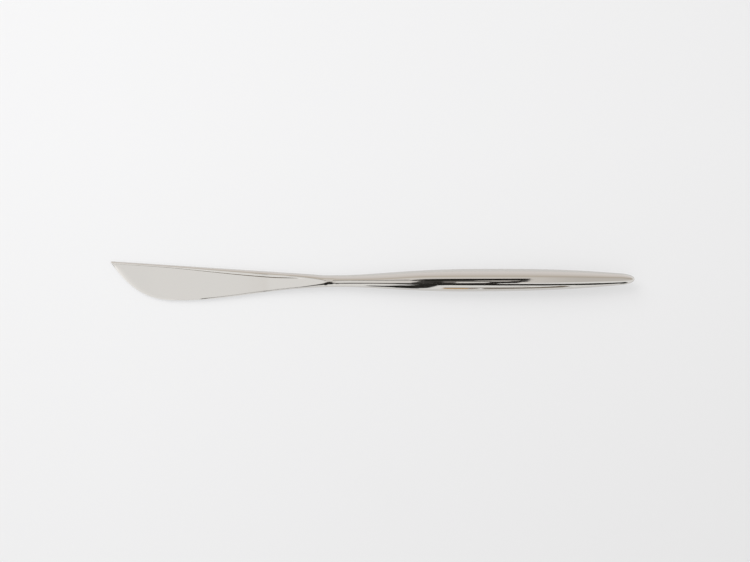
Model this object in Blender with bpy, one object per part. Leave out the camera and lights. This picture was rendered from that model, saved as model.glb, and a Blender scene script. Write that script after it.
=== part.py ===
"""Dinner knife in four pieces: a forged blade with neck and tang, a hollow handle made of two shell halves,
and the cement that holds the tang. Lengths are in metres.

The pieces are drawn in the knife's own frame. Its origin lies on the handle's axis at the neck joint, X runs
toward the tail, Y toward the spine, and Z toward the left side. An empty carries them, so that the middle of
the knife's underside ends at the world origin.
"""
import bmesh
import bpy
import numpy as np

for old in list(bpy.data.objects):
    bpy.data.objects.remove(old)

# Lengths, both from the neck joint
BLADE_LENGTH = 0.1011
HANDLE_LENGTH = 0.1340

# Neck: narrowest at the joint, thinnest at a waist just ahead of it, from where the round body flares again
NECK_HALF_WIDTH = 0.00262
NECK_HALF_THICKNESS = 0.00190
WAIST_FROM_JOINT = 0.0010
WAIST_REACH = 0.0050
BODY_FLARE = 0.012
BODY_FLARE_BEND = 0.0010

# Spine: a straight line that runs into the neck, with a rounded tip
SPINE_SLOPE = 0.0716
SPINE_LINE_AT_NECK = 0.00235
SPINE_BLEND_LENGTH = 0.0110
TIP_DROP = 0.0003
TIP_ROUND = 0.0008
TIP_FLAT = 0.00008

# Edge: two Bezier curves that meet at the belly, its lowest point. A reach is the length of a curve's handle.
BELLY_DEPTH = 0.0081
BELLY_FROM_NECK = 0.0685
TIP_ANGLE = np.radians(56.0)
TIP_REACH = 0.0210
BELLY_REACH_TO_TIP = 0.0100
BELLY_REACH_TO_NECK = 0.0215
NECK_REACH = 0.0290

# Ground face: a plane in front, given by its half thickness at the neck joint and its two slopes. Behind the
# start of the run-out it ramps up until it leaves the round body whole. A blend rounds the change.
FACE_HALF_THICKNESS = 0.00086
FACE_TAPER = 0.0067
FACE_WEDGE = 0.0307
RUN_OUT_FROM_NECK = 0.0285
RUN_OUT_SLOPE = 0.048
RUN_OUT_BLEND = 0.0030
FACE_BLEND = 0.00005

# Round ridge along the spine, which stands proud of the ground face and is widest where the run-out starts.
# Its angle is the part of an ellipse, counted from the spine, that the face leaves.
RIDGE_WIDTH = 0.00272
RIDGE_WIDTH_AT_HEEL = 0.00228
RIDGE_WIDTH_AT_TIP = 0.00115
RIDGE_NARROWS_TO = 0.0840
RIDGE_ANGLE = np.radians(142.0)
RIDGE_ANGLE_AT_TIP = np.radians(124.0)
RIDGE_FADE_LENGTH = 0.0310
HEEL_LENGTH = 0.0160

# Bevel along the edge, wider at the tip. Toward the neck it gives way to the part of the round body that the
# face leaves there. A roundness of 2 is an ellipse.
BEVEL_WIDTH = 0.00058
BEVEL_WIDTH_AT_TIP = 0.00280
BEVEL_BLEND = 0.00010
BEVEL_ROUNDNESS_AT_NECK = 2.0
BEVEL_ROUNDNESS_AT_BELLY = 1.25
BEVEL_LARGEST_SHARE = 0.6

# Handle: two Bezier curves that meet at its widest place
SWELL_FROM_NECK = 0.0620
SWELL_HALF_WIDTH = 0.00506
SWELL_HALF_THICKNESS = 0.00375
TAIL_HALF_WIDTH = 0.00220
TAIL_HALF_THICKNESS = 0.00163
TAIL_SLOPE = 0.065
HANDLE_NECK_REACH = 0.0180
SWELL_REACH_TO_NECK = 0.0310
SWELL_REACH_TO_TAIL = 0.0450
TAIL_REACH = 0.0200
TAIL_NOSE_LENGTH = 0.0070
TAIL_NOSE_ROUNDNESS = 2.4

# Shell halves
SHELL_WALL = 0.0006
TAIL_WALL = 0.0030
CAVITY_NOSE_LENGTH = 0.0120
NECK_JOINT_GAP = 0.0002
SEAM_GAP = 0.0002

# Tang, and the cement around it
TANG_LENGTH = 0.0620
TANG_HALF_WIDTH_AT_ROOT = 0.00140
TANG_HALF_WIDTH_AT_END = 0.00090
TANG_HALF_THICKNESS_AT_ROOT = 0.00085
TANG_HALF_THICKNESS_AT_END = 0.00060
TANG_SQUARENESS = 4.0
CEMENT_LEAST_WALL = 0.00030
CEMENT_PAST_TANG = 0.0120
CEMENT_GAP = 0.0003
TANG_GAP = 0.0003

# Mesh density
BLADE_ROWS = 72
CLOSER_AT_ENDS = 0.7
RIDGE_STEPS = 8
BEVEL_STEPS = 6
TANG_ROWS = 4
HANDLE_ROWS = 46
SHELL_STEPS = 14
CAVITY_STEPS = 10
CEMENT_ROWS = 14
CEMENT_STEPS = 10
CURVE_SAMPLES = 400
MERGE_DISTANCE = 1e-7
SHARP_ANGLE = np.radians(20.0)
CROWN = np.pi / 2

STEEL_COLOUR = (0.62, 0.60, 0.57)
STEEL_ROUGHNESS = 0.08
CEMENT_COLOUR = (0.45, 0.43, 0.39)
CEMENT_ROUGHNESS = 0.9


def bezier(start, start_handle, end_handle, end):
    t = np.linspace(0.0, 1.0, CURVE_SAMPLES)[:, None]
    first = (1 - t) ** 3 * np.array(start) + 3 * (1 - t) ** 2 * t * np.array(start_handle)
    return first + 3 * (1 - t) * t ** 2 * np.array(end_handle) + t ** 3 * np.array(end)


def smooth_step(t):
    t = np.clip(t, 0.0, 1.0)
    return t * t * (3 - 2 * t)


def nose(distance, length, roundness):
    """Factor that closes a section over the given length, as a rounded end."""
    inward = 1 - np.clip(distance / length, 0.0, 1.0)
    return (1 - inward ** roundness) ** (1 / roundness)


def soft_min(a, b, blend):
    return (a + b - np.hypot(a - b, blend)) / 2


def soft_max(a, b, blend):
    return (a + b + np.hypot(a - b, blend)) / 2


def spindle(waist, waist_reach, neck_half, swell_half, tail_half, tail_slope):
    """Half outline of the handle from its waist to the tail, before the tail is rounded."""
    to_swell = bezier(
        (waist, neck_half),
        (waist + waist_reach, neck_half),
        (SWELL_FROM_NECK - SWELL_REACH_TO_NECK, swell_half),
        (SWELL_FROM_NECK, swell_half),
    )
    to_tail = bezier(
        (SWELL_FROM_NECK, swell_half),
        (SWELL_FROM_NECK + SWELL_REACH_TO_TAIL, swell_half),
        (HANDLE_LENGTH - TAIL_REACH, tail_half + tail_slope * TAIL_REACH),
        (HANDLE_LENGTH, tail_half),
    )
    return np.vstack((to_swell, to_tail[1:]))


WIDTH_OUTLINE = spindle(
    0.0,
    HANDLE_NECK_REACH,
    NECK_HALF_WIDTH,
    SWELL_HALF_WIDTH,
    TAIL_HALF_WIDTH,
    TAIL_SLOPE,
)
THICKNESS_OUTLINE = spindle(
    -WAIST_FROM_JOINT,
    WAIST_REACH,
    NECK_HALF_THICKNESS,
    SWELL_HALF_THICKNESS,
    TAIL_HALF_THICKNESS,
    TAIL_SLOPE * TAIL_HALF_THICKNESS / TAIL_HALF_WIDTH,
)


def handle_section(x):
    """Half width and half thickness of the handle's outside."""
    end = nose(HANDLE_LENGTH - x, TAIL_NOSE_LENGTH, TAIL_NOSE_ROUNDNESS)
    width = np.interp(x, *WIDTH_OUTLINE.T)
    thickness = np.interp(x, *THICKNESS_OUTLINE.T)
    return width * end, thickness * end


def cavity_section(x, inset):
    """Half width and half thickness of the handle's cavity, made smaller all round by the inset."""
    end = nose(HANDLE_LENGTH - TAIL_WALL - x, CAVITY_NOSE_LENGTH, TAIL_NOSE_ROUNDNESS)
    width, thickness = handle_section(x)
    return (width - SHELL_WALL) * end - inset, (thickness - SHELL_WALL) * end - inset


def tang_section(x, gap):
    t = x / TANG_LENGTH
    width = TANG_HALF_WIDTH_AT_ROOT * (1 - t) + TANG_HALF_WIDTH_AT_END * t
    thickness = TANG_HALF_THICKNESS_AT_ROOT * (1 - t) + TANG_HALF_THICKNESS_AT_END * t
    return width + gap, thickness + gap


def spine_line(x):
    return SPINE_LINE_AT_NECK - SPINE_SLOPE * x


TIP_HEIGHT = spine_line(-BLADE_LENGTH) - TIP_DROP


def spine_height(x):
    rounded = TIP_HEIGHT + (spine_line(x) - TIP_HEIGHT) * nose(x + BLADE_LENGTH, TIP_ROUND, 2.0)
    blend = smooth_step(1 + x / SPINE_BLEND_LENGTH)
    return rounded * (1 - blend) + NECK_HALF_WIDTH * blend


def edge_outline():
    """Points of the edge from the tip to the neck joint."""
    tip = np.array((-BLADE_LENGTH, TIP_HEIGHT))
    belly = np.array((-BELLY_FROM_NECK, -BELLY_DEPTH))
    neck = np.array((0.0, -NECK_HALF_WIDTH))
    down = np.array((np.cos(TIP_ANGLE), -np.sin(TIP_ANGLE)))
    along = np.array((1.0, 0.0))
    front = bezier(tip, tip + TIP_REACH * down, belly - BELLY_REACH_TO_TIP * along, belly)
    back = bezier(belly, belly + BELLY_REACH_TO_NECK * along, neck - NECK_REACH * along, neck)
    return np.vstack((front, back[1:]))


def face_height(x, y):
    """Half thickness of the ground plane, which ramps up to the neck behind the start of its run-out."""
    behind = x + RUN_OUT_FROM_NECK
    bend = np.clip(behind + RUN_OUT_BLEND, 0.0, 2 * RUN_OUT_BLEND) ** 2 / (4 * RUN_OUT_BLEND)
    ramp = bend + np.maximum(behind - RUN_OUT_BLEND, 0.0)
    return FACE_HALF_THICKNESS + FACE_TAPER * x + FACE_WEDGE * y + RUN_OUT_SLOPE * ramp


def body_thickness(x):
    """Half thickness of the round body before grinding."""
    ahead = np.maximum(-WAIST_FROM_JOINT - x, 0.0)
    flare = BODY_FLARE * (np.hypot(ahead, BODY_FLARE_BEND) - BODY_FLARE_BEND)
    return np.interp(x, *THICKNESS_OUTLINE.T) + flare


def ground_height(x, y):
    """Half thickness of what the grinding leaves: the plane, or the round body where that is thinner."""
    return soft_min(face_height(x, y), body_thickness(x), FACE_BLEND)


def ridge_section(x, top):
    """Half width, half thickness and last angle of the ridge's ellipse, which ends where the face begins."""
    heel = smooth_step(-x / HEEL_LENGTH)
    front = smooth_step((-x - HEEL_LENGTH) / (RUN_OUT_FROM_NECK - HEEL_LENGTH))
    narrow = smooth_step((-x - RUN_OUT_FROM_NECK) / (RIDGE_NARROWS_TO - RUN_OUT_FROM_NECK))
    width = NECK_HALF_WIDTH * (1 - heel) + RIDGE_WIDTH_AT_HEEL * (heel - front)
    width += RIDGE_WIDTH * (front - narrow) + RIDGE_WIDTH_AT_TIP * narrow
    angle = RIDGE_ANGLE * (1 - narrow) + RIDGE_ANGLE_AT_TIP * narrow
    angle += (CROWN - angle) * smooth_step(1 + x / RIDGE_FADE_LENGTH)
    return width / (1 - np.cos(angle)), ground_height(x, top - width) / np.sin(angle), angle


def bevel_width(x, edge, room):
    """Width of the strip between the face and the edge, and the reach of the round that it is cut from."""
    cut = ground_height(x, edge + NECK_HALF_WIDTH / 2) / body_thickness(x)
    left = NECK_HALF_WIDTH * (1 - np.sqrt(1 - cut ** 2))
    toward_tip = smooth_step((-x - BELLY_FROM_NECK) / (BLADE_LENGTH - BELLY_FROM_NECK))
    bevel = BEVEL_WIDTH + (BEVEL_WIDTH_AT_TIP - BEVEL_WIDTH) * toward_tip
    width = soft_max(left, min(bevel, BEVEL_LARGEST_SHARE * room), BEVEL_BLEND)
    return min(width, room), NECK_HALF_WIDTH + bevel * toward_tip


def blade_row(x, edge):
    """Left half of the blade's section, from the spine to the edge: round ridge, ground face and bevel."""
    top = spine_height(x)
    half_width, half_thickness, crease = ridge_section(x, top)
    half_width = min(half_width, (top - edge) / 2)
    angles = np.linspace(0.0, crease, RIDGE_STEPS + 1)
    ridge_y = top - half_width + half_width * np.cos(angles)
    ridge_z = half_thickness * np.sin(angles)
    bevel, reach = bevel_width(x, edge, ridge_y[-1] - edge)
    shoulder = min(ground_height(x, edge + bevel), ridge_z[-1])
    forward = smooth_step((-x - HEEL_LENGTH) / (BELLY_FROM_NECK - HEEL_LENGTH))
    roundness = BEVEL_ROUNDNESS_AT_NECK * (1 - forward) + BEVEL_ROUNDNESS_AT_BELLY * forward
    left = 1 - (1 - bevel / reach) ** roundness
    cosine = np.maximum(np.cos(np.linspace(0.0, CROWN, BEVEL_STEPS + 1)), 0.0)
    bevel_y = edge + reach * (1 - (1 - left * cosine ** 2) ** (1 / roundness))
    bevel_z = shoulder * cosine ** (2 / roundness)
    bevel_z[-1] = 0.0
    return row_points(x, np.concatenate((ridge_y, bevel_y)), np.concatenate((ridge_z, bevel_z)))


def row_points(x, y, z):
    return [(x, a, b) for a, b in zip(y, z)]


def squared_row(x, half_width, half_thickness, angles, squareness):
    """Left half of a section between an ellipse (squareness 2) and a rectangle."""
    power = 2 / squareness
    cosine = np.cos(angles)
    y = half_width * np.sign(cosine) * np.abs(cosine) ** power
    z = half_thickness * np.abs(np.sin(angles)) ** power
    z[0] = 0.0
    z[-1] = 0.0
    return row_points(x, y, z)


def shell_arc(x, half_width, half_thickness, steps):
    """Half of an ellipse on the left of the seam, from the spine side to the edge side."""
    start = np.arcsin(min(1.0, SEAM_GAP / 2 / max(half_thickness, SEAM_GAP / 2)))
    angles = np.linspace(start, np.pi - start, steps + 1)
    y = max(half_width, 0.0) * np.cos(angles)
    z = np.maximum(half_thickness * np.sin(angles), SEAM_GAP / 2)
    return row_points(x, y, z)


def loft(rows, closed):
    """Skin over rows of points with equal count, with the first and last rows filled."""
    skin = bmesh.new()
    grid = [[skin.verts.new(point) for point in row] for row in rows]
    count = len(rows[0])
    for near, far in zip(grid, grid[1:]):
        for i in range(count if closed else count - 1):
            j = (i + 1) % count
            skin.faces.new((near[i], near[j], far[j], far[i]))
    skin.faces.new(grid[0][::-1])
    skin.faces.new(grid[-1])
    bmesh.ops.remove_doubles(skin, verts=skin.verts, dist=MERGE_DISTANCE)
    return skin


def make_piece(name, skin, colour, metallic, roughness):
    mesh = bpy.data.meshes.new(name)
    skin.to_mesh(mesh)
    skin.free()
    mesh.shade_smooth()
    mesh.set_sharp_from_angle(angle=SHARP_ANGLE)
    material = bpy.data.materials.new(name)
    material.use_nodes = True
    shader = material.node_tree.nodes["Principled BSDF"]
    shader.inputs["Base Color"].default_value = (*colour, 1.0)
    shader.inputs["Metallic"].default_value = metallic
    shader.inputs["Roughness"].default_value = roughness
    mesh.materials.append(material)
    piece = bpy.data.objects.new(name, mesh)
    bpy.context.scene.collection.objects.link(piece)
    piece.parent = knife
    return piece


def add_right_side(piece):
    mirror = piece.modifiers.new("Right side", "MIRROR")
    mirror.use_axis = (False, False, True)
    mirror.merge_threshold = MERGE_DISTANCE


def build_blade():
    outline = edge_outline()
    t = np.linspace(0.0, 1.0, BLADE_ROWS)
    t = CLOSER_AT_ENDS * (1 - np.cos(t * np.pi)) / 2 + (1 - CLOSER_AT_ENDS) * t
    rows = []
    for x in (BLADE_LENGTH - TIP_FLAT) * (t - 1):
        rows.append(blade_row(x, np.interp(x, *outline.T)))
    split = CROWN / (RIDGE_STEPS + BEVEL_STEPS)
    angles = np.concatenate((
        np.linspace(0.0, CROWN - split, RIDGE_STEPS + 1),
        np.linspace(CROWN + split, np.pi, BEVEL_STEPS + 1),
    ))
    for x in np.linspace(0.0, TANG_LENGTH, TANG_ROWS):
        rows.append(squared_row(x, *tang_section(x, 0.0), angles, TANG_SQUARENESS))
    return loft(rows, closed=False)


def build_shell():
    """Left half of the handle's shell, lofted through C-shaped sections that close at the tail."""
    t = np.linspace(0.0, 1.0, HANDLE_ROWS)
    rows = []
    for x in NECK_JOINT_GAP + (HANDLE_LENGTH - NECK_JOINT_GAP) * np.sin(t * CROWN):
        outside = shell_arc(x, *handle_section(x), SHELL_STEPS)
        inside = shell_arc(x, *cavity_section(x, 0.0), CAVITY_STEPS)
        rows.append(outside + inside[::-1])
    return loft(rows, closed=True)


def build_cement():
    angles = np.linspace(0.0, np.pi, CEMENT_STEPS + 1)
    pocket_end = TANG_LENGTH + TANG_GAP
    cement_end = TANG_LENGTH + CEMENT_PAST_TANG
    for start in np.linspace(0.0, TANG_LENGTH, CURVE_SAMPLES):
        outside = np.array(cavity_section(start, CEMENT_GAP))
        if min(outside - tang_section(start, TANG_GAP)) > CEMENT_LEAST_WALL:
            break
    rows = []
    for x in np.linspace(pocket_end, start, TANG_ROWS):
        rows.append(squared_row(x, *tang_section(x, TANG_GAP), angles, TANG_SQUARENESS))
    for x in np.linspace(start, cement_end, CEMENT_ROWS):
        rows.append(squared_row(x, *cavity_section(x, CEMENT_GAP), angles, 2.0))
    return loft(rows, closed=False)


knife = bpy.data.objects.new("dinner_knife", None)
bpy.context.scene.collection.objects.link(knife)

blade = make_piece("blade", build_blade(), STEEL_COLOUR, 1.0, STEEL_ROUGHNESS)
add_right_side(blade)

left_shell = make_piece("handle_shell_left", build_shell(), STEEL_COLOUR, 1.0, STEEL_ROUGHNESS)

right_skin = build_shell()
bmesh.ops.scale(right_skin, vec=(1.0, 1.0, -1.0), verts=right_skin.verts)
bmesh.ops.reverse_faces(right_skin, faces=right_skin.faces)
right_shell = make_piece("handle_shell_right", right_skin, STEEL_COLOUR, 1.0, STEEL_ROUGHNESS)

cement = make_piece("tang_cement", build_cement(), CEMENT_COLOUR, 0.0, CEMENT_ROUGHNESS)
add_right_side(cement)

corners = np.array([v.co for piece in (blade, left_shell) for v in piece.data.vertices])
low = corners.min(axis=0)
high = corners.max(axis=0)
knife.location = (-(low[0] + high[0]) / 2, -(low[1] + high[1]) / 2, high[2])
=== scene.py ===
"""Dinner knife: the polished surfaces over the CAD frame, a pale table, soft light and an overhead camera.

The surfaces repeat the knife's own sizes and formulas in a finer mesh, in the knife's frame: origin on the
handle's axis at the neck joint, X toward the tail, Y toward the spine, Z toward the left side. Lengths are
in metres.
"""

import bmesh
import bpy
import numpy as np
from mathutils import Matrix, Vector


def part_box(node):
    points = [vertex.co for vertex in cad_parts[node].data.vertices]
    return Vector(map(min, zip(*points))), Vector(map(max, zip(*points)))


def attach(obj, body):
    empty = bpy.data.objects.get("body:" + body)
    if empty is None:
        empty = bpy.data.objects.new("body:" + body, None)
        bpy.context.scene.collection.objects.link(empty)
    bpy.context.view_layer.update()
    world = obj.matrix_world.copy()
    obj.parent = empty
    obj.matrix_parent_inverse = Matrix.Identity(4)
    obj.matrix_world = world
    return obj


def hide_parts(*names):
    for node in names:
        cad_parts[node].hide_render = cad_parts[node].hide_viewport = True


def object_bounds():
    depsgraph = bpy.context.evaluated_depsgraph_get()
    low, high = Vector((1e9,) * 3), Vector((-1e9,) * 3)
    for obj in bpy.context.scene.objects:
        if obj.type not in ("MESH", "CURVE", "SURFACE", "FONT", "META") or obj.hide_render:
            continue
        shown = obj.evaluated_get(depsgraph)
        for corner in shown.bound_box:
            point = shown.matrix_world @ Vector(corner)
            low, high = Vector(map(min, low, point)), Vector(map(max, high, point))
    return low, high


# Lengths, both from the neck joint
BLADE_LENGTH = 0.1011
HANDLE_LENGTH = 0.1340

# Neck joint
NECK_HALF_WIDTH = 0.00262
NECK_HALF_THICKNESS = 0.00190
WAIST_FROM_JOINT = 0.0010
WAIST_REACH = 0.0050
BODY_FLARE = 0.012
BODY_FLARE_BEND = 0.0010

# Spine
SPINE_SLOPE = 0.0716
SPINE_LINE_AT_NECK = 0.00235
SPINE_BLEND_LENGTH = 0.0110
TIP_DROP = 0.0003
TIP_ROUND = 0.0008
TIP_ROUNDNESS = 2.0
TIP_FLAT = 0.00008

# Edge
BELLY_DEPTH = 0.0081
BELLY_FROM_NECK = 0.0685
TIP_ANGLE = np.radians(56.0)
TIP_REACH = 0.0210
BELLY_REACH_TO_TIP = 0.0100
BELLY_REACH_TO_NECK = 0.0215
NECK_REACH = 0.0290

# Ground face
FACE_HALF_THICKNESS = 0.00086
FACE_TAPER = 0.0067
FACE_WEDGE = 0.0307
RUN_OUT_FROM_NECK = 0.0285
RUN_OUT_SLOPE = 0.048
RUN_OUT_BLEND = 0.0030
FACE_BLEND = 0.00005

# Round ridge along the spine
RIDGE_WIDTH = 0.00272
RIDGE_WIDTH_AT_HEEL = 0.00228
RIDGE_WIDTH_AT_TIP = 0.00115
RIDGE_NARROWS_TO = 0.0840
RIDGE_FADE_LENGTH = 0.0310
HEEL_LENGTH = 0.0160
RIDGE_ANGLE = np.radians(142.0)
RIDGE_ANGLE_AT_TIP = np.radians(130.0)
CREASE_FILLET = 0.00006
CREASE_LARGEST_SHARE = 0.25

# Bevel along the edge
BEVEL_WIDTH = 0.00058
BEVEL_WIDTH_AT_TIP = 0.00280
BEVEL_BLEND = 0.00010
BEVEL_ROUNDNESS_AT_NECK = 2.0
BEVEL_ROUNDNESS_AT_BELLY = 1.25
BEVEL_LARGEST_SHARE = 0.6
SHOULDER_FILLET = 0.00025
SHOULDER_FILLET_AT_TIP = 0.00140
SHOULDER_LARGEST_SHARE = 0.3
SHOULDER_LARGEST_SHARE_AT_TIP = 0.6
FILLET_LARGEST_SHARE = 0.45

# Handle
SWELL_FROM_NECK = 0.0620
SWELL_HALF_WIDTH = 0.00506
SWELL_HALF_THICKNESS = 0.00375
TAIL_HALF_WIDTH = 0.00220
TAIL_HALF_THICKNESS = 0.00163
TAIL_SLOPE = 0.065
HANDLE_NECK_REACH = 0.0180
SWELL_REACH_TO_NECK = 0.0310
SWELL_REACH_TO_TAIL = 0.0450
TAIL_REACH = 0.0200
TAIL_NOSE_LENGTH = 0.0070
TAIL_NOSE_ROUNDNESS = 2.4
SHELL_WALL = 0.0006
TAIL_WALL = 0.0030
CAVITY_NOSE_LENGTH = 0.0120

# Mesh density
BLADE_ROWS = 320
CLOSER_AT_ENDS = 0.6
RIDGE_STEPS = 26
FILLET_STEPS = 6
FACE_STEPS = 10
BEVEL_STEPS = 14
HANDLE_ROWS = 240
SHELL_STEPS = 52
CAVITY_STEPS = 16
CURVE_SAMPLES = 6000
MERGE_DISTANCE = 1e-8
CROWN = np.pi / 2
SHARP_ANGLE = np.radians(35.0)

# Steel
STEEL_WARM = (0.665, 0.643, 0.612, 1.0)
STEEL_COOL = (0.655, 0.637, 0.608, 1.0)
STEEL_ROUGHNESS = (0.02, 0.10)
WEAR_SCALE = 90.0
WEAR_STRETCH = 0.4
WEAR_DETAIL = 3.0
POLISHING_SCALE = 2600.0
POLISHING_STRETCH = 0.02
POLISHING_DETAIL = 2.0
POLISHING_STRENGTH = 0.05
POLISHING_DEPTH = 0.00001

# Cement
CEMENT_DARK = (0.34, 0.32, 0.29, 1.0)
CEMENT_LIGHT = (0.56, 0.54, 0.50, 1.0)
CEMENT_ROUGHNESS = 0.9
CEMENT_GRAIN_SCALE = 900.0
CEMENT_GRAIN_DETAIL = 6.0

# Table, whose painted glow softens the shadow and paints a pool of light that falls off between two places
TABLE_HALF = 3.0
TABLE_ROUGHNESS = 0.6
TABLE_PAINTED_LIGHT = 0.56
TABLE_COLOUR = (0.76, 0.76, 0.765, 1.0)
TABLE_BRIGHT = (0.94, 0.94, 0.945, 1.0)
TABLE_DIM = (0.775, 0.77, 0.77, 1.0)
TABLE_BRIGHT_AT = (-0.10, 0.06)
TABLE_DIM_AT = (0.25, -0.13)
TABLE_DIM_SHARES = (0.55, 0.45)

# Camera: overhead, with the picture's scale at the knife's middle plane
PICTURE_WIDTH = 750
KNIFE_LENGTH = 0.235
KNIFE_PIXELS = 523.4
METRES_PER_PIXEL = KNIFE_LENGTH / KNIFE_PIXELS
SENSOR_WIDTH = 36.0
CAMERA_HEIGHT = 0.90
CAMERA_ROLL = np.radians(-0.39)
CAMERA_CLIP = 0.01
VIEW_CENTRE = (0.01751, -0.00007)

# Lamp behind the knife on the tip's side
LAMP_SIZE = 1.1
LAMP_PLACE = (-0.75, 0.95, 1.05)
LAMP_POWER = 14.0

# World: its light on surfaces, and its brightness where the camera or the steel sees it
WORLD_STRENGTH = 0.79
WORLD_SEEN = 1.0

# Ceiling: white over the blade, beige over the handle and at the back. Its tones run from front to back by
# share of its length. They come nearer over the blade, and over the handle by a share of X. A shade lies
# over its front beyond the tail.
CEILING_HEIGHT = 1.2
CEILING_SIDES = (-1.8, 1.8)
CEILING_ENDS = (-0.6, 5.8)
CEILING_WHITE = (1.01, 1.01, 1.01, 1.0)
CEILING_SHADE = (0.80, 0.79, 0.78, 1.0)
CEILING_TONES = (
    (0.00, (0.90, 0.88, 0.86)),
    (0.16, (0.87, 0.84, 0.81)),
    (0.184, (0.80, 0.75, 0.70)),
    (0.206, (0.67, 0.62, 0.55)),
    (0.221, (0.67, 0.62, 0.55)),
    (0.248, (0.77, 0.72, 0.67)),
    (0.28, (0.81, 0.76, 0.72)),
    (0.356, (0.875, 0.83, 0.815)),
    (0.50, (0.915, 0.88, 0.864)),
    (1.00, (0.95, 0.92, 0.92)),
)
CEILING_TILT = 0.5
NEARER_FROM_SIDE = (-0.10, -0.02)
NEARER = 0.35
BEIGE_FROM_SIDE = (-0.16, -0.02)
BEIGE_FROM_FRONT = (0.12, 0.26)
SHADE_FROM_SIDE = (0.14, 0.36)
SHADE_TO_BACK = (0.30, 0.75)

# Soft lamp beside the tip, seen only in the steel: its strength rises along a direction
SOFTBOX_SIDES = (-1.8, -0.21)
SOFTBOX_ENDS = (-1.2, 0.36)
SOFTBOX_RISE = (-0.8, -0.6, 0.0)
SOFTBOX_REACH = (0.25, 0.95)
SOFTBOX_GLOW = (1.0, 1.30)

# Plain cards that only the steel's reflections show, with corners in the knife's frame. Level cards hang
# over the knife, each a step lower than the one before, and low cards hang under them. Front cards stand on
# the edge's side at the given distance, or behind the spine where that is negative.
CARD_HEIGHT = 1.0
CARD_STEP = 0.001
LOW_CARD_HEIGHT = 0.5
BLACK = (0.026, 0.025, 0.022)
DARK = (0.060, 0.057, 0.053)
GREY = (0.20, 0.19, 0.18)
PALE = (0.50, 0.48, 0.46)
WHITE = (0.88, 0.86, 0.84)
BROWN = (0.60, 0.40, 0.20)
TAUPE = (0.30, 0.25, 0.20)
DUSK = (0.22, 0.19, 0.15)
LEVEL_CARDS = (
    ("camera_side", DARK, ((-0.11, 0.13), (-0.012, 0.14), (-0.012, 0.04), (-0.11, 0.05))),
    ("camera_edge", DARK, ((0.003, 0.18), (0.014, 0.21), (0.014, -0.09), (0.003, -0.06))),
    ("camera_top", BLACK, (
        (0.014, 0.22), (0.06, 0.22), (0.12, 0.20), (0.196, 0.17),
        (0.192, -0.07), (0.112, -0.04), (0.014, 0.05),
    )),
    ("camera_back", BLACK, ((0.014, 0.06), (0.112, 0.01), (0.112, -0.09), (0.014, -0.09))),
    ("camera_cover", PALE, ((0.112, -0.04), (0.182, -0.065), (0.182, -0.17), (0.112, -0.16))),
    ("camera_strap", BLACK, (
        (0.176, -0.05), (0.192, -0.05), (0.192, -0.30),
        (0.162, -0.30), (0.162, -0.17), (0.176, -0.16),
    )),
    ("stand_head", DARK, (
        (-0.007, -0.05), (0.014, -0.09), (0.075, -0.08),
        (0.075, -0.47), (-0.014, -0.47), (-0.008, -0.24),
    )),
    ("stand_face", GREY, ((0.049, -0.09), (0.075, -0.09), (0.075, -0.36), (0.049, -0.36))),
    ("stand_plate", GREY, ((0.075, -0.08), (0.112, -0.08), (0.135, -0.17), (0.135, -0.24), (0.075, -0.22))),
    ("stand_post_left", BLACK, ((0.028, -0.20), (0.049, -0.20), (0.049, -0.47), (0.028, -0.47))),
    ("stand_post_right", BLACK, (
        (0.132, -0.21), (0.150, -0.21), (0.152, -0.46),
        (0.158, -0.76), (0.146, -0.76), (0.134, -0.46),
    )),
    ("stand_knob", BLACK, ((0.136, -0.20), (0.182, -0.22), (0.182, -0.48), (0.140, -0.48))),
    ("stand_bar", BLACK, (
        (0.036, -0.45), (0.075, -0.40), (0.137, -0.40),
        (0.157, -0.92), (0.06, -0.84), (0.036, -0.92),
    )),
    ("stand_leg_left", BLACK, (
        (-0.010, -0.47), (0.04, -0.47), (0.037, -0.70),
        (0.032, -1.0), (-0.018, -1.0), (-0.012, -0.70),
    )),
    ("stand_boom", GREY, (
        (-0.05, -0.46), (-0.10, -0.50), (-0.12, -0.44), (-0.14, -0.44),
        (-0.14, -0.98), (-0.12, -0.98), (-0.10, -0.82), (-0.05, -0.79),
    )),
    ("stand_boom_end", DARK, ((-0.008, -0.40), (-0.05, -0.46), (-0.05, -0.79), (-0.008, -0.86))),
    ("stand_leg_right", BLACK, (
        (0.15, -0.58), (0.20, -0.65), (0.25, -0.73), (0.30, -0.80), (0.44, -1.0),
        (0.44, -1.5), (0.30, -1.34), (0.25, -1.18), (0.20, -1.06), (0.15, -0.96),
    )),
)
LOW_CARDS = (
    ("camera_wing", DARK, ((0.012, 0.040), (0.0195, 0.085), (0.0195, -0.030), (0.012, -0.025))),
    ("camera_gap", WHITE, (
        (0.010, -0.025), (0.0195, -0.030), (0.0188, -0.090), (0.0165, -0.130), (0.0105, -0.140),
    )),
)
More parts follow.
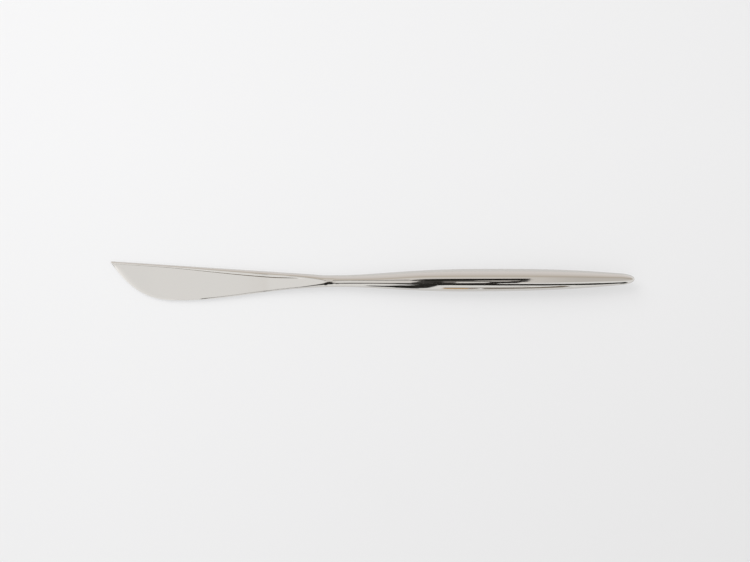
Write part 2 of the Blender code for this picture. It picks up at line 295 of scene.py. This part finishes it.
FRONT_CARDS = (
    ("back_wall", WHITE, -5.8, ((-1.8, 1.2), (1.8, 1.2), (1.8, -0.1), (-1.8, -0.1))),
    ("dusk", DUSK, 1.0, (
        (-1.2, 0.85), (-0.184, 0.85), (-0.168, 0.62), (-0.14, 0.60), (-0.14, 0.0), (-1.2, 0.0),
    )),
    ("leg_left", BLACK, 0.4, (
        (0.010, 0.44), (0.0425, 0.44), (0.041, 0.40), (0.037, 0.24), (0.034, 0.16), (0.033, 0.11),
        (0.029, 0.065), (0.018, 0.03), (0.006, 0.02), (0.001, 0.20), (0.001, 0.30), (0.006, 0.37),
    )),
    ("leg_low", BLACK, 0.1, (
        (0.005, 0.026), (0.009, 0.038), (0.0135, 0.046), (0.0183, 0.070), (0.0215, 0.085),
        (0.0260, 0.085), (0.0269, 0.010), (0.034, 0.006), (0.034, -0.0035), (0.021, -0.003),
        (0.0185, 0.006), (0.0135, 0.004), (0.009, 0.002), (0.006, 0.010),
    )),
    ("leg_near", DARK, 0.05, (
        (-0.031, 0.030), (-0.024, 0.034), (-0.018, 0.050), (-0.012, 0.060), (-0.0085, 0.056),
        (-0.004, 0.070), (-0.004, 0.034), (-0.0085, 0.018), (-0.013, 0.014), (-0.020, 0.018),
        (-0.031, 0.022),
    )),
    ("leg_back", BLACK, 1.0, ((-0.012, 1.0), (0.03, 1.0), (0.03, 0.80), (-0.012, 0.80))),
    ("leg_right", BLACK, 1.0, (
        (0.25, 1.0), (0.41, 1.0), (0.44, 0.80), (0.62, 0.85), (0.62, 0.16), (0.50, 0.0), (0.43, 0.0),
        (0.38, 0.08), (0.34, 0.34), (0.30, 0.66),
    )),
    ("wood_left", BROWN, 1.0, ((0.05, 0.34), (0.10, 0.34), (0.10, 0.04), (0.05, 0.04))),
    ("wood_middle", TAUPE, 1.0, ((0.10, 0.30), (0.117, 0.30), (0.117, 0.06), (0.10, 0.06))),
    ("wood_right", DUSK, 1.0, (
        (0.123, 0.31), (0.18, 0.29), (0.24, 0.42), (0.28, 0.56), (0.28, 0.30), (0.25, 0.04), (0.123, 0.0),
    )),
    ("shelf", PALE, 1.0, ((0.05, 0.52), (0.20, 0.52), (0.20, 0.34), (0.05, 0.34))),
)


def bezier(start, start_handle, end_handle, end):
    t = np.linspace(0.0, 1.0, CURVE_SAMPLES)[:, None]
    first = (1 - t) ** 3 * np.array(start) + 3 * (1 - t) ** 2 * t * np.array(start_handle)
    return first + 3 * (1 - t) * t ** 2 * np.array(end_handle) + t ** 3 * np.array(end)


def smooth_step(t):
    t = np.clip(t, 0.0, 1.0)
    return t * t * (3 - 2 * t)


def nose(distance, length, roundness):
    inward = 1 - np.clip(distance / length, 0.0, 1.0)
    return (1 - inward ** roundness) ** (1 / roundness)


def soft_min(a, b, blend):
    return (a + b - np.hypot(a - b, blend)) / 2


def soft_max(a, b, blend):
    return (a + b + np.hypot(a - b, blend)) / 2


def spindle(waist, waist_reach, neck_half, swell_half, tail_half, tail_slope):
    to_swell = bezier(
        (waist, neck_half),
        (waist + waist_reach, neck_half),
        (SWELL_FROM_NECK - SWELL_REACH_TO_NECK, swell_half),
        (SWELL_FROM_NECK, swell_half),
    )
    to_tail = bezier(
        (SWELL_FROM_NECK, swell_half),
        (SWELL_FROM_NECK + SWELL_REACH_TO_TAIL, swell_half),
        (HANDLE_LENGTH - TAIL_REACH, tail_half + tail_slope * TAIL_REACH),
        (HANDLE_LENGTH, tail_half),
    )
    return np.vstack((to_swell, to_tail[1:]))


WIDTH_OUTLINE = spindle(
    0.0,
    HANDLE_NECK_REACH,
    NECK_HALF_WIDTH,
    SWELL_HALF_WIDTH,
    TAIL_HALF_WIDTH,
    TAIL_SLOPE,
)
THICKNESS_OUTLINE = spindle(
    -WAIST_FROM_JOINT,
    WAIST_REACH,
    NECK_HALF_THICKNESS,
    SWELL_HALF_THICKNESS,
    TAIL_HALF_THICKNESS,
    TAIL_SLOPE * TAIL_HALF_THICKNESS / TAIL_HALF_WIDTH,
)


def handle_section(x):
    end = nose(HANDLE_LENGTH - x, TAIL_NOSE_LENGTH, TAIL_NOSE_ROUNDNESS)
    return np.interp(x, *WIDTH_OUTLINE.T) * end, np.interp(x, *THICKNESS_OUTLINE.T) * end


def cavity_section(x):
    end = nose(HANDLE_LENGTH - TAIL_WALL - x, CAVITY_NOSE_LENGTH, TAIL_NOSE_ROUNDNESS)
    width, thickness = handle_section(x)
    return (width - SHELL_WALL) * end, (thickness - SHELL_WALL) * end


def spine_line(x):
    return SPINE_LINE_AT_NECK - SPINE_SLOPE * x


TIP_HEIGHT = spine_line(-BLADE_LENGTH) - TIP_DROP


def spine_height(x):
    rounded = TIP_HEIGHT + (spine_line(x) - TIP_HEIGHT) * nose(x + BLADE_LENGTH, TIP_ROUND, TIP_ROUNDNESS)
    blend = smooth_step(1 + x / SPINE_BLEND_LENGTH)
    return rounded * (1 - blend) + NECK_HALF_WIDTH * blend


def edge_outline():
    tip = np.array((-BLADE_LENGTH, TIP_HEIGHT))
    belly = np.array((-BELLY_FROM_NECK, -BELLY_DEPTH))
    neck = np.array((0.0, -NECK_HALF_WIDTH))
    down = np.array((np.cos(TIP_ANGLE), -np.sin(TIP_ANGLE)))
    along = np.array((1.0, 0.0))
    front = bezier(tip, tip + TIP_REACH * down, belly - BELLY_REACH_TO_TIP * along, belly)
    back = bezier(belly, belly + BELLY_REACH_TO_NECK * along, neck - NECK_REACH * along, neck)
    return np.vstack((front, back[1:]))


def face_height(x, y):
    """Half thickness of the ground plane, which ramps up to the neck behind the start of its run-out."""
    behind = x + RUN_OUT_FROM_NECK
    bend = np.clip(behind + RUN_OUT_BLEND, 0.0, 2 * RUN_OUT_BLEND) ** 2 / (4 * RUN_OUT_BLEND)
    ramp = bend + np.maximum(behind - RUN_OUT_BLEND, 0.0)
    return FACE_HALF_THICKNESS + FACE_TAPER * x + FACE_WEDGE * y + RUN_OUT_SLOPE * ramp


def body_thickness(x):
    """Half thickness of the round body, which has its waist at the neck and flares toward the blade."""
    ahead = np.maximum(-WAIST_FROM_JOINT - x, 0.0)
    flare = BODY_FLARE * (np.hypot(ahead, BODY_FLARE_BEND) - BODY_FLARE_BEND)
    return np.interp(x, *THICKNESS_OUTLINE.T) + flare


def ground_height(x, y):
    """Half thickness of what the grinding leaves: the plane, or the round body where that is thinner."""
    return soft_min(face_height(x, y), body_thickness(x), FACE_BLEND)


def ridge_section(x, top):
    """Half width, half thickness and last angle of the ridge's ellipse, which ends at the ground face."""
    heel = smooth_step(-x / HEEL_LENGTH)
    front = smooth_step((-x - HEEL_LENGTH) / (RUN_OUT_FROM_NECK - HEEL_LENGTH))
    narrow = smooth_step((-x - RUN_OUT_FROM_NECK) / (RIDGE_NARROWS_TO - RUN_OUT_FROM_NECK))
    width = NECK_HALF_WIDTH * (1 - heel) + RIDGE_WIDTH_AT_HEEL * (heel - front)
    width += RIDGE_WIDTH * (front - narrow) + RIDGE_WIDTH_AT_TIP * narrow
    angle = RIDGE_ANGLE * (1 - narrow) + RIDGE_ANGLE_AT_TIP * narrow
    angle += (CROWN - angle) * smooth_step(1 + x / RIDGE_FADE_LENGTH)
    return width / (1 - np.cos(angle)), ground_height(x, top - width) / np.sin(angle), angle


def toward_tip(x):
    return smooth_step((-x - BELLY_FROM_NECK) / (BLADE_LENGTH - BELLY_FROM_NECK))


def bevel_width(x, edge, room):
    """Width of the strip between the face and the edge: what the face leaves of the body, or a bevel."""
    cut = ground_height(x, edge + NECK_HALF_WIDTH / 2) / body_thickness(x)
    left = NECK_HALF_WIDTH * (1 - np.sqrt(1 - cut ** 2))
    bevel = BEVEL_WIDTH + (BEVEL_WIDTH_AT_TIP - BEVEL_WIDTH) * toward_tip(x)
    width = soft_max(left, min(bevel, BEVEL_LARGEST_SHARE * room), BEVEL_BLEND)
    return min(width, room), NECK_HALF_WIDTH + bevel * toward_tip(x)


def rounded_corner(start, corner, end):
    t = np.linspace(0.0, 1.0, FILLET_STEPS + 1)[:, None]
    return (1 - t) ** 2 * start + 2 * t * (1 - t) * corner + t ** 2 * end


def blade_row(x, edge):
    """Left half of the blade's section from the spine to the edge, with rounded inner and outer corners."""
    top = spine_height(x)
    half_width, half_thickness, crease = ridge_section(x, top)
    half_width = min(half_width, (top - edge) / 2)

    def ridge(angle):
        y = top - half_width + half_width * np.cos(angle)
        return np.stack((y, half_thickness * np.sin(angle)), axis=-1)

    crease_point = ridge(crease)
    bevel, reach = bevel_width(x, edge, crease_point[0] - edge)
    shoulder = np.array((edge + bevel, min(ground_height(x, edge + bevel), crease_point[1])))
    forward = smooth_step((-x - HEEL_LENGTH) / (BELLY_FROM_NECK - HEEL_LENGTH))
    roundness = BEVEL_ROUNDNESS_AT_NECK * (1 - forward) + BEVEL_ROUNDNESS_AT_BELLY * forward
    left = 1 - (1 - bevel / reach) ** roundness

    def bevel_curve(turn):
        cosine = np.maximum(np.cos(turn), 0.0)
        y = edge + reach * (1 - (1 - left * cosine ** 2) ** (1 / roundness))
        return np.stack((y, shoulder[1] * cosine ** (2 / roundness)), axis=-1)

    along_face = shoulder - crease_point
    face_length = np.hypot(*along_face)
    along_face = along_face / max(face_length, MERGE_DISTANCE)
    largest_fillet = FILLET_LARGEST_SHARE * face_length
    fillet = min(CREASE_FILLET, largest_fillet)
    speed = np.hypot(half_width * np.sin(crease), half_thickness * np.cos(crease))
    ridge_end = crease - min(fillet / speed, CREASE_LARGEST_SHARE * crease)
    tip = toward_tip(x)
    shoulder_fillet = SHOULDER_FILLET + (SHOULDER_FILLET_AT_TIP - SHOULDER_FILLET) * tip
    share = SHOULDER_LARGEST_SHARE + (SHOULDER_LARGEST_SHARE_AT_TIP - SHOULDER_LARGEST_SHARE) * tip
    shoulder_fillet = min(shoulder_fillet, share * bevel, largest_fillet)
    left_of_fillet = 1 - (1 - (bevel - shoulder_fillet) / reach) ** roundness
    bevel_start = np.arccos(np.sqrt(left_of_fillet / left))
    face_start = crease_point + along_face * fillet
    face_end = shoulder - along_face * shoulder_fillet
    inner = rounded_corner(ridge(ridge_end), crease_point, face_start)
    outer = rounded_corner(face_end, shoulder, bevel_curve(bevel_start))
    t = np.linspace(0.0, 1.0, FACE_STEPS + 1)[1:-1, None]
    half = np.vstack((
        ridge(np.linspace(0.0, ridge_end, RIDGE_STEPS + 1))[:-1],
        inner,
        face_start * (1 - t) + face_end * t,
        outer,
        bevel_curve(np.linspace(bevel_start, CROWN, BEVEL_STEPS + 1))[1:],
    ))
    half[0, 1] = 0.0
    half[-1, 1] = 0.0
    return [(x, y, z) for y, z in half]


def shell_arc(x, half_width, half_thickness, steps):
    angles = np.linspace(0.0, np.pi, steps + 1)
    y = max(half_width, 0.0) * np.cos(angles)
    z = max(half_thickness, 0.0) * np.sin(angles)
    z[0] = 0.0
    z[-1] = 0.0
    return [(x, a, b) for a, b in zip(y, z)]


def loft(rows, closed):
    """Skin over rows of points with equal count, with the first and last rows filled."""
    skin = bmesh.new()
    grid = [[skin.verts.new(point) for point in row] for row in rows]
    count = len(rows[0])
    for near, far in zip(grid, grid[1:]):
        for i in range(count if closed else count - 1):
            j = (i + 1) % count
            skin.faces.new((near[i], near[j], far[j], far[i]))
    skin.faces.new(grid[0][::-1])
    skin.faces.new(grid[-1])
    return skin


def mirror(skin, points, faces):
    """Turns a left side into a right side."""
    bmesh.ops.scale(skin, vec=(1.0, 1.0, -1.0), verts=points)
    bmesh.ops.reverse_faces(skin, faces=faces)


def add_right_side(skin):
    """Adds the mirror image of a left half."""
    copy = bmesh.ops.duplicate(skin, geom=skin.verts[:] + skin.edges[:] + skin.faces[:])
    new_points = [item for item in copy["geom"] if isinstance(item, bmesh.types.BMVert)]
    new_faces = [item for item in copy["geom"] if isinstance(item, bmesh.types.BMFace)]
    mirror(skin, new_points, new_faces)


def blade_skin():
    outline = edge_outline()
    t = np.linspace(0.0, 1.0, BLADE_ROWS)
    t = CLOSER_AT_ENDS * (1 - np.cos(t * np.pi)) / 2 + (1 - CLOSER_AT_ENDS) * t
    rows = [blade_row(x, np.interp(x, *outline.T)) for x in (BLADE_LENGTH - TIP_FLAT) * (t - 1)]
    skin = loft(rows, closed=False)
    add_right_side(skin)
    return skin


def shell_skin():
    t = np.linspace(0.0, 1.0, HANDLE_ROWS)
    rows = []
    for x in HANDLE_LENGTH * np.sin(t * CROWN):
        outside = shell_arc(x, *handle_section(x), SHELL_STEPS)
        inside = shell_arc(x, *cavity_section(x), CAVITY_STEPS)
        rows.append(outside + inside[::-1])
    return loft(rows, closed=True)


def make_piece(name, skin, node, material):
    """Piece of the visual model that stands for a CAD node, moved from the knife's frame to the CAD's."""
    bmesh.ops.remove_doubles(skin, verts=skin.verts, dist=MERGE_DISTANCE)
    bmesh.ops.translate(skin, vec=KNIFE_PLACE, verts=skin.verts)
    mesh = bpy.data.meshes.new(name)
    skin.to_mesh(mesh)
    skin.free()
    mesh.shade_smooth()
    mesh.set_sharp_from_angle(angle=SHARP_ANGLE)
    mesh.materials.append(material)
    piece = bpy.data.objects.new(name, mesh)
    bpy.context.scene.collection.objects.link(piece)
    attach(piece, "root")
    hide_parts(node)


def new_material(name):
    material = bpy.data.materials.new(name)
    material.use_nodes = True
    nodes = material.node_tree.nodes
    return material, nodes, material.node_tree.links, nodes["Principled BSDF"]


def feed(links, value, socket):
    """Links a node's output to a socket, or sets the socket to a plain value."""
    if isinstance(value, bpy.types.NodeSocket):
        links.new(value, socket)
    else:
        socket.default_value = value


def link_math(nodes, links, operation, first, second):
    step = nodes.new("ShaderNodeMath")
    step.operation = operation
    links.new(first, step.inputs[0])
    links.new(second, step.inputs[1])
    return step.outputs["Value"]


def map_range(nodes, links, value, from_ends, to_ends, interpolation="LINEAR"):
    step = nodes.new("ShaderNodeMapRange")
    step.interpolation_type = interpolation
    step.inputs["From Min"].default_value = from_ends[0]
    step.inputs["From Max"].default_value = from_ends[1]
    step.inputs["To Min"].default_value = to_ends[0]
    step.inputs["To Max"].default_value = to_ends[1]
    links.new(value, step.inputs["Value"])
    return step.outputs["Result"]


def smooth_range(nodes, links, value, ends):
    return map_range(nodes, links, value, ends, (0.0, 1.0), "SMOOTHSTEP")


def mix_colours(nodes, links, factor, first, second, blend_type="MIX"):
    mix = nodes.new("ShaderNodeMix")
    mix.data_type = "RGBA"
    mix.blend_type = blend_type
    feed(links, factor, mix.inputs["Factor"])
    feed(links, first, mix.inputs["A"])
    feed(links, second, mix.inputs["B"])
    return mix.outputs["Result"]


def object_place(nodes, links):
    place = nodes.new("ShaderNodeTexCoord")
    split = nodes.new("ShaderNodeSeparateXYZ")
    links.new(place.outputs["Object"], split.inputs["Vector"])
    return split.outputs["X"], split.outputs["Y"]


def seen_rays(nodes, links):
    """One for rays from the camera and for mirrored rays, zero for light on the surfaces."""
    path = nodes.new("ShaderNodeLightPath")
    return link_math(nodes, links, "MAXIMUM", path.outputs["Is Camera Ray"], path.outputs["Is Glossy Ray"])


def steel_noise(nodes, links, place, stretch, scale, detail):
    """Noise in the piece's frame, drawn out along the handle's axis where the stretch is below one."""
    drawn = nodes.new("ShaderNodeMapping")
    drawn.inputs["Scale"].default_value = (stretch, 1.0, 1.0)
    links.new(place.outputs["Object"], drawn.inputs["Vector"])
    noise = nodes.new("ShaderNodeTexNoise")
    noise.inputs["Scale"].default_value = scale
    noise.inputs["Detail"].default_value = detail
    links.new(drawn.outputs["Vector"], noise.inputs["Vector"])
    return noise.outputs["Fac"]


def steel_material():
    """Mirror-polished stainless steel: soft patches of wear, and fine polishing lines along the knife."""
    material, nodes, links, shader = new_material("polished_steel")
    shader.inputs["Metallic"].default_value = 1.0
    place = nodes.new("ShaderNodeTexCoord")
    wear = steel_noise(nodes, links, place, WEAR_STRETCH, WEAR_SCALE, WEAR_DETAIL)
    lines = steel_noise(nodes, links, place, POLISHING_STRETCH, POLISHING_SCALE, POLISHING_DETAIL)
    links.new(mix_colours(nodes, links, wear, STEEL_WARM, STEEL_COOL), shader.inputs["Base Color"])
    dulled = link_math(nodes, links, "MULTIPLY", wear, lines)
    links.new(map_range(nodes, links, dulled, (0.0, 1.0), STEEL_ROUGHNESS), shader.inputs["Roughness"])
    bump = nodes.new("ShaderNodeBump")
    bump.inputs["Strength"].default_value = POLISHING_STRENGTH
    bump.inputs["Distance"].default_value = POLISHING_DEPTH
    links.new(lines, bump.inputs["Height"])
    links.new(bump.outputs["Normal"], shader.inputs["Normal"])
    return material


def cement_material():
    material, nodes, links, shader = new_material("cement")
    grain = nodes.new("ShaderNodeTexNoise")
    grain.inputs["Scale"].default_value = CEMENT_GRAIN_SCALE
    grain.inputs["Detail"].default_value = CEMENT_GRAIN_DETAIL
    tint = nodes.new("ShaderNodeValToRGB")
    tint.color_ramp.elements[0].color = CEMENT_DARK
    tint.color_ramp.elements[1].color = CEMENT_LIGHT
    links.new(grain.outputs["Fac"], tint.inputs["Fac"])
    links.new(tint.outputs["Color"], shader.inputs["Base Color"])
    shader.inputs["Roughness"].default_value = CEMENT_ROUGHNESS
    return material


def table_material():
    """Pale table with painted light: part of its brightness is a glow where the camera or a mirrored ray
    sees it, which softens the shadow and dims between two places.
    """
    material, nodes, links, shader = new_material("pale_table_painted_light")
    shader.inputs["Base Color"].default_value = TABLE_COLOUR
    shader.inputs["Roughness"].default_value = TABLE_ROUGHNESS
    across, down = (
        map_range(nodes, links, place, (bright, dim), (0.0, share))
        for place, bright, dim, share in zip(
            object_place(nodes, links), TABLE_BRIGHT_AT, TABLE_DIM_AT, TABLE_DIM_SHARES
        )
    )
    painted_dimming = link_math(nodes, links, "ADD", across, down)
    # Painted light: this glow lifts the table's shadow and paints a pool of light that dims from the bright
    # place to the dim place
    glow = nodes.new("ShaderNodeEmission")
    links.new(mix_colours(nodes, links, painted_dimming, TABLE_BRIGHT, TABLE_DIM), glow.inputs["Color"])
    painted_light_share = map_range(nodes, links, seen_rays(nodes, links), (0.0, 1.0), (0.0, TABLE_PAINTED_LIGHT))
    surface = nodes.new("ShaderNodeMixShader")
    links.new(painted_light_share, surface.inputs["Fac"])
    links.new(shader.outputs["BSDF"], surface.inputs[1])
    links.new(glow.outputs["Emission"], surface.inputs[2])
    links.new(surface.outputs["Shader"], nodes["Material Output"].inputs["Surface"])
    return material


def glow_material(name):
    """Material that only gives off light."""
    material, nodes, links, shader = new_material(name)
    nodes.remove(shader)
    glow = nodes.new("ShaderNodeEmission")
    links.new(glow.outputs["Emission"], nodes["Material Output"].inputs["Surface"])
    return material, nodes, links, glow


def card_material(name, colour):
    material, nodes, links, glow = glow_material(name)
    glow.inputs["Color"].default_value = (*colour, 1.0)
    return material


def ceiling_material():
    """Lit ceiling: white over the blade, beige over the handle and at the back."""
    material, nodes, links, glow = glow_material("ceiling")
    x, y = object_place(nodes, links)
    tilt_ends = (0.0, CEILING_TILT * CEILING_SIDES[1])
    tilt = map_range(nodes, links, x, (0.0, CEILING_SIDES[1]), tilt_ends)
    nearer = map_range(nodes, links, x, NEARER_FROM_SIDE, (NEARER, 0.0))
    moved = link_math(nodes, links, "ADD", link_math(nodes, links, "ADD", y, tilt), nearer)
    ramp = nodes.new("ShaderNodeValToRGB")
    for position, colour in CEILING_TONES[1:-1]:
        ramp.color_ramp.elements.new(position).color = (*colour, 1.0)
    ramp.color_ramp.elements[0].color = (*CEILING_TONES[0][1], 1.0)
    ramp.color_ramp.elements[-1].color = (*CEILING_TONES[-1][1], 1.0)
    links.new(map_range(nodes, links, moved, CEILING_ENDS, (0.0, 1.0)), ramp.inputs["Fac"])
    beige_side = smooth_range(nodes, links, x, BEIGE_FROM_SIDE)
    beige_back = smooth_range(nodes, links, y, BEIGE_FROM_FRONT)
    beige = link_math(nodes, links, "MAXIMUM", beige_side, beige_back)
    toned = mix_colours(nodes, links, beige, CEILING_WHITE, ramp.outputs["Color"])
    shade_side = smooth_range(nodes, links, x, SHADE_FROM_SIDE)
    shade_front = smooth_range(nodes, links, y, SHADE_TO_BACK[::-1])
    shade = link_math(nodes, links, "MULTIPLY", shade_side, shade_front)
    shaded = mix_colours(nodes, links, shade, toned, CEILING_SHADE, "MULTIPLY")
    links.new(shaded, glow.inputs["Color"])
    return material


def softbox_material():
    """Soft lamp beside the tip, brighter toward its far side."""
    material, nodes, links, glow = glow_material("softbox")
    place = nodes.new("ShaderNodeTexCoord")
    outward = nodes.new("ShaderNodeVectorMath")
    outward.operation = "DOT_PRODUCT"
    outward.inputs[1].default_value = SOFTBOX_RISE
    links.new(place.outputs["Object"], outward.inputs[0])
    strength = map_range(nodes, links, outward.outputs["Value"], SOFTBOX_REACH, SOFTBOX_GLOW)
    links.new(strength, glow.inputs["Strength"])
    return material


def flat_object(name, corners, material):
    """One flat face with its corners in the knife's frame."""
    mesh = bpy.data.meshes.new(name)
    mesh.from_pydata(corners, [], [range(len(corners))])
    mesh.materials.append(material)
    thing = bpy.data.objects.new(name, mesh)
    thing.location = KNIFE_PLACE
    bpy.context.scene.collection.objects.link(thing)
    return thing


def add_card(name, corners, material):
    """Flat face that only mirrored rays see."""
    card = flat_object(name, corners, material)
    card.visible_camera = False
    card.visible_diffuse = False
    card.visible_shadow = False


def level_rectangle(sides, ends, height):
    return [(x, y, height) for x, y in zip(np.repeat(sides, 2), ends + ends[::-1])]


def table_corners():
    """Corners of a plane tilted so that the knife rests on it with the tip and the handle."""
    along = np.linspace(0.0, HANDLE_LENGTH, CURVE_SAMPLES)
    handle_under = -handle_section(along)[1]
    tip_under = -ridge_section(-BLADE_LENGTH, TIP_HEIGHT)[1]
    slope = np.max((tip_under - handle_under) / (along + BLADE_LENGTH))
    corners = []
    for x, y in ((-1, -1), (1, -1), (1, 1), (-1, 1)):
        z = tip_under - slope * (x * TABLE_HALF + BLADE_LENGTH)
        corners.append((x * TABLE_HALF, y * TABLE_HALF, z))
    return corners


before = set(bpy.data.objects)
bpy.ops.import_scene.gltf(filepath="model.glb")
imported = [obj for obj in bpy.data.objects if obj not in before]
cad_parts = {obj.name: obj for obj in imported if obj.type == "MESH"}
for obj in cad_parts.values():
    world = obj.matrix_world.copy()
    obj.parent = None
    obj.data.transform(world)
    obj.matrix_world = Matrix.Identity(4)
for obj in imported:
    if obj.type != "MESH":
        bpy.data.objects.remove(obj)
cad_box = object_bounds()
KNIFE_PLACE = (
    cad_box[1].x - HANDLE_LENGTH,
    cad_box[0].y + BELLY_DEPTH,
    (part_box("blade")[0].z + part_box("blade")[1].z) / 2,
)

steel = steel_material()
make_piece("polished_blade", blade_skin(), "blade", steel)
make_piece("polished_shell_left", shell_skin(), "handle_shell_left", steel)
right_skin = shell_skin()
mirror(right_skin, right_skin.verts, right_skin.faces)
make_piece("polished_shell_right", right_skin, "handle_shell_right", steel)
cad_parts["tang_cement"].data.materials.clear()
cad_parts["tang_cement"].data.materials.append(cement_material())

table = flat_object("table", table_corners(), table_material())

add_card("ceiling", level_rectangle(CEILING_SIDES, CEILING_ENDS, CEILING_HEIGHT), ceiling_material())
add_card("softbox", level_rectangle(SOFTBOX_SIDES, SOFTBOX_ENDS, CARD_HEIGHT), softbox_material())
for order, (name, colour, corners) in enumerate(LEVEL_CARDS):
    height = CARD_HEIGHT - CARD_STEP * order
    add_card(name, [(x, y, height) for x, y in corners], card_material(name, colour))
for name, colour, corners in LOW_CARDS:
    add_card(name, [(x, y, LOW_CARD_HEIGHT) for x, y in corners], card_material(name, colour))
for name, colour, distance, corners in FRONT_CARDS:
    add_card(name, [(x, -distance, z) for x, z in corners], card_material(name, colour))

lamp = bpy.data.lights.new("soft_lamp", "AREA")
lamp.shape = "SQUARE"
lamp.size = LAMP_SIZE
lamp.energy = LAMP_POWER
lamp_object = bpy.data.objects.new("soft_lamp", lamp)
lamp_object.location = LAMP_PLACE
lamp_object.visible_glossy = False
lamp_object.rotation_euler = Vector(LAMP_PLACE).to_track_quat("Z", "Y").to_euler()
bpy.context.scene.collection.objects.link(lamp_object)

world = bpy.data.worlds.new("soft_light")
bpy.context.scene.world = world
world.use_nodes = True
world_nodes = world.node_tree.nodes
world_links = world.node_tree.links
world_seen = seen_rays(world_nodes, world_links)
world_level = map_range(world_nodes, world_links, world_seen, (0.0, 1.0), (WORLD_STRENGTH, WORLD_SEEN))
world_nodes["Background"].inputs["Color"].default_value = (1.0, 1.0, 1.0, 1.0)
world_links.new(world_level, world_nodes["Background"].inputs["Strength"])

camera = bpy.data.cameras.new("camera")
camera.sensor_width = SENSOR_WIDTH
camera.lens = SENSOR_WIDTH * (CAMERA_HEIGHT - KNIFE_PLACE[2]) / (PICTURE_WIDTH * METRES_PER_PIXEL)
camera.clip_start = CAMERA_CLIP
camera_object = bpy.data.objects.new("camera", camera)
camera_object.location = (VIEW_CENTRE[0] + KNIFE_PLACE[0], VIEW_CENTRE[1] + KNIFE_PLACE[1], CAMERA_HEIGHT)
camera_object.rotation_euler = (0.0, 0.0, CAMERA_ROLL)
bpy.context.scene.collection.objects.link(camera_object)
bpy.context.scene.camera = camera_object

bpy.context.scene.view_settings.view_transform = "Standard"
